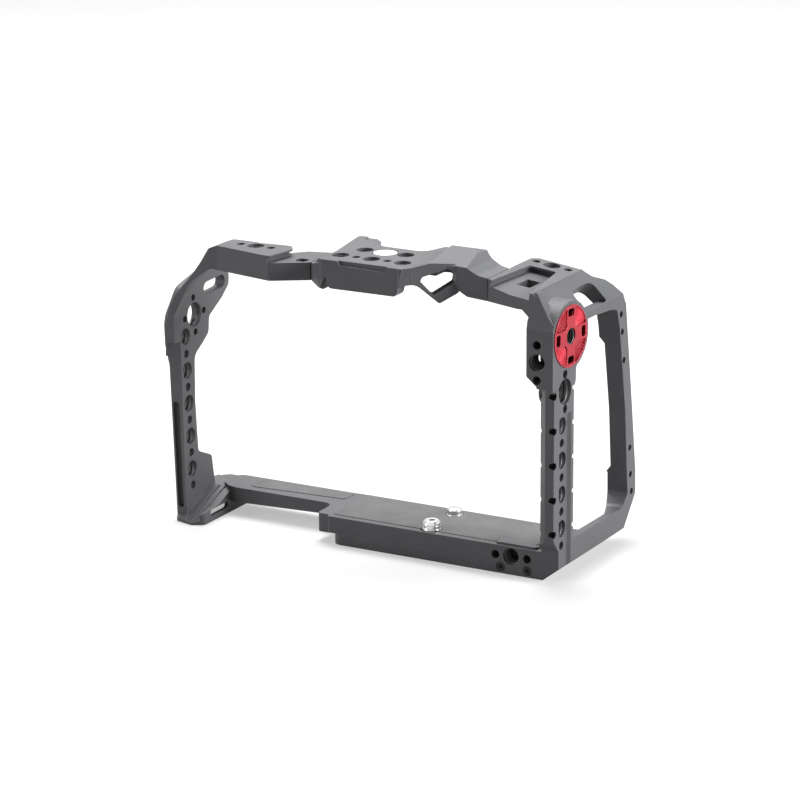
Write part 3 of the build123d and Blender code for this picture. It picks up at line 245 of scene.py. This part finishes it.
# What isn't listed, the cage's own screws, is of black steel
FINISH = {
    "right_frame": dark_metal, "left_frame": dark_metal, "top_bridge": dark_metal,
    "base_plate": dark_metal, "lower_plate": dark_metal, "base_pad": pad_rubber, "rail_pad": pad_rubber,
    "camera_screw": bright_steel, "screw_clip": bright_steel, "locating_pin": bright_steel,
    "pin_spring": bright_steel, "pin_retainer": black_steel, "rosette_disc": red_metal, "key_magnet": nickel,
}
for node_name, thing in NODES.items():
    thing.data.materials.clear()
    thing.data.materials.append(FINISH.get(node_name, black_steel))


# ---------------------------------------------------------------------------
# Geometry Nodes: helpers
# ---------------------------------------------------------------------------
def node_tree(name, inputs):
    """Tree with a geometry input and output, and named inputs: {name: kind of socket}."""
    tree = bpy.data.node_groups.new(name, "GeometryNodeTree")
    tree.interface.new_socket("Geometry", in_out="OUTPUT", socket_type="NodeSocketGeometry")
    tree.interface.new_socket("Geometry", in_out="INPUT", socket_type="NodeSocketGeometry")
    for label, kind in inputs.items():
        tree.interface.new_socket(label, in_out="INPUT", socket_type="NodeSocket" + kind)
    return tree, tree.nodes.new("NodeGroupInput"), tree.nodes.new("NodeGroupOutput")


def finish_tree(tree, geometry, material, out):
    """Realize Instances and Set Material, the last steps of every tree."""
    real = tree.nodes.new("GeometryNodeRealizeInstances")
    paint = tree.nodes.new("GeometryNodeSetMaterial")
    tree.links.new(geometry, real.inputs["Geometry"])
    tree.links.new(real.outputs["Geometry"], paint.inputs["Geometry"])
    tree.links.new(material, paint.inputs["Material"])
    tree.links.new(paint.outputs["Geometry"], out.inputs["Geometry"])


def link_object(name, data):
    thing = bpy.data.objects.new(name, data)
    bpy.context.scene.collection.objects.link(thing)
    return thing


def grown(tree, values, start=None):
    """Plain mesh that a tree makes from those input values."""
    thing = link_object("growing", start or bpy.data.meshes.new("start"))
    modifier = thing.modifiers.new("grow", "NODES")
    modifier.node_group = tree
    for item in tree.interface.items_tree:
        if item.item_type == "SOCKET" and item.in_out == "INPUT" and item.name in values:
            modifier[item.identifier] = values[item.name]
    bpy.context.view_layer.update()
    graph = bpy.context.evaluated_depsgraph_get()
    mesh = bpy.data.meshes.new_from_object(thing.evaluated_get(graph), depsgraph=graph)
    thing.modifiers.clear()
    bpy.data.objects.remove(thing)
    return mesh


def aim(place, axis):
    """Matrix that takes the origin to a place and +Z to an axis."""
    turn = Vector((0, 0, 1)).rotation_difference(Vector(axis)).to_matrix().to_4x4()
    return Matrix.Translation(Vector(place)) @ turn


def make_piece(name, meshes, body, material, replaced=()):
    """Joins meshes, each with its matrix, to one piece that rides on a body."""
    joined = bmesh.new()
    for mesh, matrix in meshes:
        copy = mesh.copy()
        copy.transform(matrix)
        joined.from_mesh(copy)
        bpy.data.meshes.remove(copy)
    result = bpy.data.meshes.new(name)
    joined.to_mesh(result)
    joined.free()
    result.materials.clear()
    result.materials.append(material)
    piece = link_object(name, result)
    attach(piece, body)
    if replaced:
        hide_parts(*replaced)
    return piece


# ---------------------------------------------------------------------------
# Threads: a ridge that winds along a cylinder
# ---------------------------------------------------------------------------
TURN_SEGMENTS = 28         # in one turn of a ridge
RIDGE_CORNERS = 4          # around a ridge
RIDGE_SHARE = 0.42         # radius of a hole's ridge, in pitches
END_RIDGES = 2.4           # radii of the ridge by which a hole's thread is shorter than the hole
STUD_RIDGE = 0.24          # radius of the stud's ridge
STUD_FOOT = 0.1            # clear above the pad
STUD_TIP = 0.9             # clear below the tip
# Pitch for radii over the first number: 3/8 inch, 1/4 inch and metric threads
PITCHES = ((4.0, 1.5875), (3.1, 1.27), (0.0, 1.0))


def thread_pitch(radius):
    return next(pitch for least, pitch in PITCHES if radius > least)


def thread_tree():
    tree, start, out = node_tree("thread_ridge", {
        "Radius": "Float", "Ridge": "Float", "Pitch": "Float", "Length": "Float", "Segments": "Int",
        "Material": "Material"})
    radius, length = start.outputs["Radius"], start.outputs["Length"]
    turns = calculate(tree, "DIVIDE", length, start.outputs["Pitch"])
    spiral = tree.nodes.new("GeometryNodeCurveSpiral")
    tree.links.new(start.outputs["Segments"], spiral.inputs["Resolution"])
    tree.links.new(turns, spiral.inputs["Rotations"])
    tree.links.new(radius, spiral.inputs["Start Radius"])
    tree.links.new(radius, spiral.inputs["End Radius"])
    tree.links.new(length, spiral.inputs["Height"])
    upright = tree.nodes.new("GeometryNodeSetCurveNormal")
    upright.mode = "Z_UP"
    tree.links.new(spiral.outputs["Curve"], upright.inputs["Curve"])
    edge = tree.nodes.new("GeometryNodeCurvePrimitiveCircle")
    edge.inputs["Resolution"].default_value = RIDGE_CORNERS
    tree.links.new(start.outputs["Ridge"], edge.inputs["Radius"])
    swept = tree.nodes.new("GeometryNodeCurveToMesh")
    swept.inputs["Fill Caps"].default_value = True
    tree.links.new(upright.outputs["Curve"], swept.inputs["Curve"])
    tree.links.new(edge.outputs["Curve"], swept.inputs["Profile Curve"])
    finish_tree(tree, swept.outputs["Mesh"], start.outputs["Material"], out)
    return tree


THREAD = thread_tree()


def grow_thread(radius, ridge, length, material):
    """Ridge along +Z from the origin; radius and ridge in mm, length in metres."""
    return grown(THREAD, {"Radius": radius * MM, "Ridge": ridge * MM, "Pitch": thread_pitch(radius) * MM,
                          "Length": length, "Segments": TURN_SEGMENTS, "Material": material})


def hole_threads():
    """A ridge in every tapped hole of the cage."""
    found = []
    for mount in MOUNTS.values():
        if mount["kind"] != "threaded_hole":
            continue
        radius, length = mount["dims"]["r_mm"], mount["dims"]["length_mm"]
        ridge = thread_pitch(radius) * RIDGE_SHARE
        run = length - END_RIDGES * ridge
        axis = Vector(mount["axis"]).normalized()
        low = Vector(mount["pos_m"]) - axis * run / 2 * MM
        found.append((grow_thread(radius, ridge, run * MM, thread_metal), aim(low, axis)))
    return make_piece("hole_threads", found, "cage", thread_metal)


def stud_thread():
    """The thread on the part of the camera screw that stands over the pad."""
    stud = MOUNTS["camera_stud"]
    across, along = stud["pos_m"][:2]
    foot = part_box("base_pad")[1][2] + STUD_FOOT * MM
    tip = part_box("camera_screw")[1][2] - STUD_TIP * MM
    mesh = grow_thread(stud["dims"]["r_mm"], STUD_RIDGE, tip - foot, bright_steel)
    place = Matrix.Translation((across, along, foot))
    return make_piece("stud_thread", [(mesh, place)], "screw", bright_steel)


# ---------------------------------------------------------------------------
# Rosette: fine radial teeth in its sunk sectors
# ---------------------------------------------------------------------------
TOOTH_COUNT = 52           # round the whole disc, with the ones left out
TOOTH_INNER = 5.0          # radii between which the teeth lie
TOOTH_OUTER = 10.55
TOOTH_HEIGHT = 0.66
TOOTH_ROOT = 0.74          # from the disc's face down to the middle of a tooth
TOOTH_CORNERS = 4
TOOTH_TAPER = 0.55         # height of a tooth's inner end against its outer end
LAND_REACH = 16.5          # degrees from a land's middle to where teeth may start


def teeth_tree():
    tree, start, out = node_tree("ring_of_teeth", {
        "Count": "Int", "Inner": "Float", "Outer": "Float", "Height": "Float", "Material": "Material"})
    count, height = start.outputs["Count"], start.outputs["Height"]
    inner, outer = start.outputs["Inner"], start.outputs["Outer"]
    length = calculate(tree, "SUBTRACT", outer, inner)
    middle = calculate(tree, "MULTIPLY", calculate(tree, "ADD", inner, outer), 0.5)
    ring = tree.nodes.new("GeometryNodeMeshCircle")
    tree.links.new(count, ring.inputs["Vertices"])
    tree.links.new(middle, ring.inputs["Radius"])
    tooth = tree.nodes.new("GeometryNodeMeshCone")
    tooth.inputs["Vertices"].default_value = TOOTH_CORNERS
    tree.links.new(calculate(tree, "MULTIPLY", height, TOOTH_TAPER), tooth.inputs["Radius Top"])
    tree.links.new(height, tooth.inputs["Radius Bottom"])
    tree.links.new(length, tooth.inputs["Depth"])
    # The cone lies down, its thin end inwards, with its middle on the ring
    lay = tree.nodes.new("GeometryNodeTransform")
    lay.inputs["Rotation"].default_value = (0.0, -math.pi / 2, 0.0)
    tree.links.new(tooth.outputs["Mesh"], lay.inputs["Geometry"])
    shift = tree.nodes.new("ShaderNodeCombineXYZ")
    tree.links.new(calculate(tree, "MULTIPLY", length, 0.5), shift.inputs["X"])
    centre = tree.nodes.new("GeometryNodeTransform")
    tree.links.new(shift.outputs["Vector"], centre.inputs["Translation"])
    tree.links.new(lay.outputs["Geometry"], centre.inputs["Geometry"])
    index = tree.nodes.new("GeometryNodeInputIndex")
    step = calculate(tree, "DIVIDE", 2 * math.pi, count)
    angle = calculate(tree, "MULTIPLY", index.outputs[0], step)
    turn = tree.nodes.new("ShaderNodeCombineXYZ")
    tree.links.new(angle, turn.inputs["Z"])
    # No tooth across the four lands, which lie at every quarter turn
    sine = calculate(tree, "SINE", calculate(tree, "MULTIPLY", angle, 2.0))
    off_land = calculate(tree, "ABSOLUTE", sine)
    toothed = calculate(tree, "GREATER_THAN", off_land, math.sin(math.radians(2 * LAND_REACH)))
    place = tree.nodes.new("GeometryNodeInstanceOnPoints")
    tree.links.new(toothed, place.inputs["Selection"])
    tree.links.new(ring.outputs["Mesh"], place.inputs["Points"])
    tree.links.new(centre.outputs["Geometry"], place.inputs["Instance"])
    tree.links.new(turn.outputs["Vector"], place.inputs["Rotation"])
    finish_tree(tree, place.outputs["Instances"], start.outputs["Material"], out)
    return tree


def rosette_teeth():
    """A ring of teeth, sunk just under the disc's face."""
    roots = DISC_FACE - DISC_AXIS * TOOTH_ROOT * MM
    mesh = grown(teeth_tree(), {"Count": TOOTH_COUNT, "Inner": TOOTH_INNER * MM, "Outer": TOOTH_OUTER * MM,
                                "Height": TOOTH_HEIGHT * MM, "Material": red_metal})
    return make_piece("rosette_teeth", [(mesh, aim(roots, DISC_AXIS))], "cage", red_metal)


# ---------------------------------------------------------------------------
# Small screws with hexagon sockets, in place of the plain ones
# ---------------------------------------------------------------------------
RING_POINTS = 24
HEXAGON = 6                # corners of a key's socket
ROUND = 0                  # a ring without corners
HEAD_HEIGHT = 1.5
HEAD_CLEAR = 0.02          # the head is this much slimmer than the plain one
SHANK_SHARE = 0.56         # of the head's radius
KEY_SHARE = 0.46           # of the head's radius, to a corner of the socket
KEY_DEPTH = 0.6            # of the head's height
KEY_POINT = (0.4, 0.72)    # end of the socket: share of its radius and of the head's height
KEY_EDGE = 0.12            # chamfer round the socket
SOFT_EDGE = 0.22           # chamfer round the head
TIP_TAPER, TIP_LENGTH = 0.35, 0.4
TOUCHING = 0.1             # boxes nearer than this are one solid


def ring_radius(radius, corners, angle):
    """Distance from the middle to a circle, or to a polygon with those corners."""
    if not corners:
        return radius
    wedge = math.pi / corners
    return radius * math.cos(wedge) / math.cos((angle % (2 * wedge)) - wedge)


def ring_stack(name, rings):
    """Closed skin over rings of points; each ring is (radius, height, corners)."""
    mesh = bmesh.new()
    rows = []
    for radius, height, corners in rings:
        row = []
        for point in range(RING_POINTS):
            angle = 2 * math.pi * point / RING_POINTS
            reach = ring_radius(radius, corners, angle)
            across, along = reach * math.cos(angle) * MM, reach * math.sin(angle) * MM
            row.append(mesh.verts.new((across, along, height * MM)))
        rows.append(row)
    for low, high in zip(rows, rows[1:]):
        for point in range(RING_POINTS):
            after = (point + 1) % RING_POINTS
            mesh.faces.new((low[point], low[after], high[after], high[point]))
    mesh.faces.new(rows[0][::-1])
    mesh.faces.new(rows[-1])
    bmesh.ops.recalc_face_normals(mesh, faces=mesh.faces)
    result = bpy.data.meshes.new(name)
    mesh.to_mesh(result)
    mesh.free()
    return result


def socket_screw(name, head, length):
    """Screw along +Z, head first: out of the socket, over the head and down to the tip."""
    key, shank = head * KEY_SHARE, head * SHANK_SHARE
    point_radius, point_depth = KEY_POINT
    return ring_stack(name, [
        (key * point_radius, HEAD_HEIGHT * point_depth, HEXAGON),
        (key, HEAD_HEIGHT * KEY_DEPTH, HEXAGON),
        (key, KEY_EDGE, HEXAGON),
        (key + KEY_EDGE, 0, HEXAGON),
        (head - SOFT_EDGE, 0, ROUND),
        (head, SOFT_EDGE, ROUND),
        (head, HEAD_HEIGHT, ROUND),
        (shank, HEAD_HEIGHT, ROUND),
        (shank, length - TIP_LENGTH, ROUND),
        (shank - TIP_TAPER, length, ROUND)])


def islands(node):
    """(lowest corner, highest corner) of every separate solid of a CAD node."""
    thing = NODES[node]
    mesh = bmesh.new()
    mesh.from_mesh(thing.data)
    mesh.transform(thing.matrix_world)
    left = set(mesh.verts)
    found = []
    while left:
        queue = [left.pop()]
        points = []
        while queue:
            vert = queue.pop()
            points.append(vert.co.copy())
            for edge in vert.link_edges:
                other = edge.other_vert(vert)
                if other in left:
                    left.discard(other)
                    queue.append(other)
        found.append([Vector(pick(point[way] for point in points) for way in range(3))
                      for pick in (min, max)])
    mesh.free()
    return merged(found)


def touch(first, second):
    """Whether two boxes meet along all three axes."""
    gap = TOUCHING * MM
    return all(first[0][way] <= second[1][way] + gap and first[1][way] >= second[0][way] - gap
               for way in range(3))


def merged(boxes):
    """Boxes that touch become one, since faces may come unjoined."""
    whole = []
    for low, high in boxes:
        for other in whole:
            if touch((low, high), other):
                for way in range(3):
                    other[0][way] = min(other[0][way], low[way])
                    other[1][way] = max(other[1][way], high[way])
                break
        else:
            whole.append([low, high])
    return whole if len(whole) == len(boxes) else merged(whole)


def scatter_tree():
    tree, start, out = node_tree("screws_on_points", {
        "Screw": "Object", "Turn": "Vector", "Material": "Material"})
    info = tree.nodes.new("GeometryNodeObjectInfo")
    tree.links.new(start.outputs["Screw"], info.inputs["Object"])
    place = tree.nodes.new("GeometryNodeInstanceOnPoints")
    tree.links.new(start.outputs["Geometry"], place.inputs["Points"])
    tree.links.new(info.outputs["Geometry"], place.inputs["Instance"])
    tree.links.new(start.outputs["Turn"], place.inputs["Rotation"])
    finish_tree(tree, place.outputs["Instances"], start.outputs["Material"], out)
    return tree


SCATTER = scatter_tree()
ALONG_X, ALONG_Y, ALONG_Z = range(3)
# The axis along which a node's screws run, their heads first
SCREW_WAYS = {"bridge_screws_left": ALONG_Z, "bridge_screws_right": ALONG_Z, "base_screws": ALONG_Z,
              "leg_screws": ALONG_X, "front_screws": ALONG_Y}
# Turn that lays a screw along its axis
TURNS = {ALONG_X: (0.0, math.pi / 2, 0.0), ALONG_Y: (-math.pi / 2, 0.0, 0.0), ALONG_Z: (0.0, 0.0, 0.0)}


def make_screws(node, way):
    """Detailed screws in the places of a node's plain ones."""
    boxes = islands(node)
    low, high = boxes[0]
    across = (way + 1) % 3
    head = (high[across] - low[across]) / 2 / MM - HEAD_CLEAR
    length = (high[way] - low[way]) / MM
    model = link_object(node + "_model", socket_screw(node + "_screw", head, length))
    points = []
    for low, high in boxes:
        place = (low + high) / 2
        place[way] = low[way]
        points.append(place)
    cloud = bpy.data.meshes.new(node + "_points")
    cloud.from_pydata(points, [], [])
    mesh = grown(SCATTER, {"Screw": model, "Turn": TURNS[way], "Material": black_steel}, cloud)
    bpy.data.objects.remove(model)
    found = [(mesh, Matrix.Identity(4))]
    return make_piece(node + "_detailed", found, "cage", black_steel, replaced=(node,))


hole_threads()
stud_thread()
rosette_teeth()
for screw_node, screw_way in SCREW_WAYS.items():
    make_screws(screw_node, screw_way)


# ---------------------------------------------------------------------------
# Floor, light and camera
# ---------------------------------------------------------------------------
FLOOR_REACH = 4.0          # metres from the middle
FLOOR_DROP = 0.1           # under the object
FLOOR_GREY = (0.30, 0.30, 0.302, 1.0)
FLOOR_GLOW = 0.45
AMBIENT = 0.14             # strength of the light from all around
# Lamp: place, the point it faces, width and height, power in watts
LAMPS = {
    "overhead": ((-0.3, 0.45, 1.35), (0, 0, 0.05), (0.9, 0.9), 45.0),
    "right_side": ((1.5, 0.25, 0.6), (0, 0, 0.05), (0.9, 0.7), 48.0),
    "front_left": ((-1.5, -1.2, 0.8), (-0.05, 0, 0.05), (0.9, 0.9), 22.0),
}
VIEW_ANGLES = (29.27, 16.24, 0.395)  # turn, tilt and roll in degrees
VIEW_POINT = (52.8, -0.7, 12.5)      # across and along from the camera screw, and up from the floor
VIEW_ASIDE, VIEW_ABOVE, VIEW_BACK = -57.296, 51.823, 1244.5  # from that point to the camera
SENSOR_WIDTH, LENS = 36.0, 157.5     # mm of the camera itself
FAR_CLIP = 50.0            # metres


def show_white(tree, level):
    """Value that is level for what the camera or a reflection sees, else 0."""
    path = tree.nodes.new("ShaderNodeLightPath")
    seen = calculate(tree, "MAXIMUM", path.outputs["Is Camera Ray"], path.outputs["Is Glossy Ray"])
    seen = calculate(tree, "MAXIMUM", seen, path.outputs["Is Transmission Ray"])
    return spread(tree, seen, 0.0, 1.0, 0.0, level)


def make_floor():
    """Pale floor that takes shadows and glows only for what sees it."""
    size = FLOOR_REACH
    mesh = bpy.data.meshes.new("studio_floor")
    mesh.from_pydata([(-size, -size, 0), (size, -size, 0), (size, size, 0), (-size, size, 0)], [],
                     [(0, 1, 2, 3)])
    floor = link_object("studio_floor", mesh)
    floor.location.z = -FLOOR_DROP * MM
    material = bpy.data.materials.new("studio_white")
    material.use_nodes = True
    tree = material.node_tree
    tree.nodes.clear()
    out = tree.nodes.new("ShaderNodeOutputMaterial")
    paint = tree.nodes.new("ShaderNodeBsdfDiffuse")
    paint.inputs["Color"].default_value = FLOOR_GREY
    glow = tree.nodes.new("ShaderNodeEmission")
    tree.links.new(show_white(tree, FLOOR_GLOW), glow.inputs["Strength"])
    both = tree.nodes.new("ShaderNodeAddShader")
    tree.links.new(paint.outputs[0], both.inputs[0])
    tree.links.new(glow.outputs[0], both.inputs[1])
    tree.links.new(both.outputs[0], out.inputs["Surface"])
    mesh.materials.append(material)


def make_lamp(name, place, target, size, power):
    data = bpy.data.lights.new(name, "AREA")
    data.shape = "RECTANGLE"
    data.size, data.size_y = size
    data.energy = power
    lamp = link_object(name, data)
    lamp.location = place
    lamp.rotation_euler = (Vector(target) - Vector(place)).to_track_quat("-Z", "Y").to_euler()


def make_world():
    """Dim light from all around, from a background that shows as white."""
    world = bpy.data.worlds.new("studio")
    bpy.context.scene.world = world
    world.use_nodes = True
    tree = world.node_tree
    tree.nodes.clear()
    out = tree.nodes.new("ShaderNodeOutputWorld")
    sky = tree.nodes.new("ShaderNodeBackground")
    sky.inputs["Color"].default_value = (1.0, 1.0, 1.0, 1.0)
    brightness = spread(tree, show_white(tree, 1.0), 0.0, 1.0, AMBIENT, 1.0)
    tree.links.new(brightness, sky.inputs["Strength"])
    tree.links.new(sky.outputs[0], out.inputs["Surface"])


def make_camera():
    """Long lens, a little to the right of the front and a little above."""
    turn, tilt, roll = (math.radians(angle) for angle in VIEW_ANGLES)
    back = Vector((math.sin(turn) * math.cos(tilt), -math.cos(turn) * math.cos(tilt), math.sin(tilt)))
    right = Vector((math.cos(turn), math.sin(turn), 0.0))
    up = back.cross(right)
    side = right * math.cos(roll) - up * math.sin(roll)
    high = right * math.sin(roll) + up * math.cos(roll)
    screw = [(low + top) / 2 / MM for low, top in zip(*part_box("camera_screw"))]
    near = Vector((screw[0] + VIEW_POINT[0], screw[1] + VIEW_POINT[1], VIEW_POINT[2]))
    place = near + side * VIEW_ASIDE + high * VIEW_ABOVE + back * VIEW_BACK
    data = bpy.data.cameras.new("camera")
    data.sensor_width = SENSOR_WIDTH
    data.lens = LENS
    data.clip_end = FAR_CLIP
    camera = link_object("camera", data)
    turned = Matrix((side, high, back)).transposed().to_4x4()
    camera.matrix_world = Matrix.Translation(place * MM) @ turned
    bpy.context.scene.camera = camera


make_floor()
for lamp_name, settings in LAMPS.items():
    make_lamp(lamp_name, *settings)
make_world()
make_camera()
bpy.context.scene.view_settings.view_transform = "Standard"
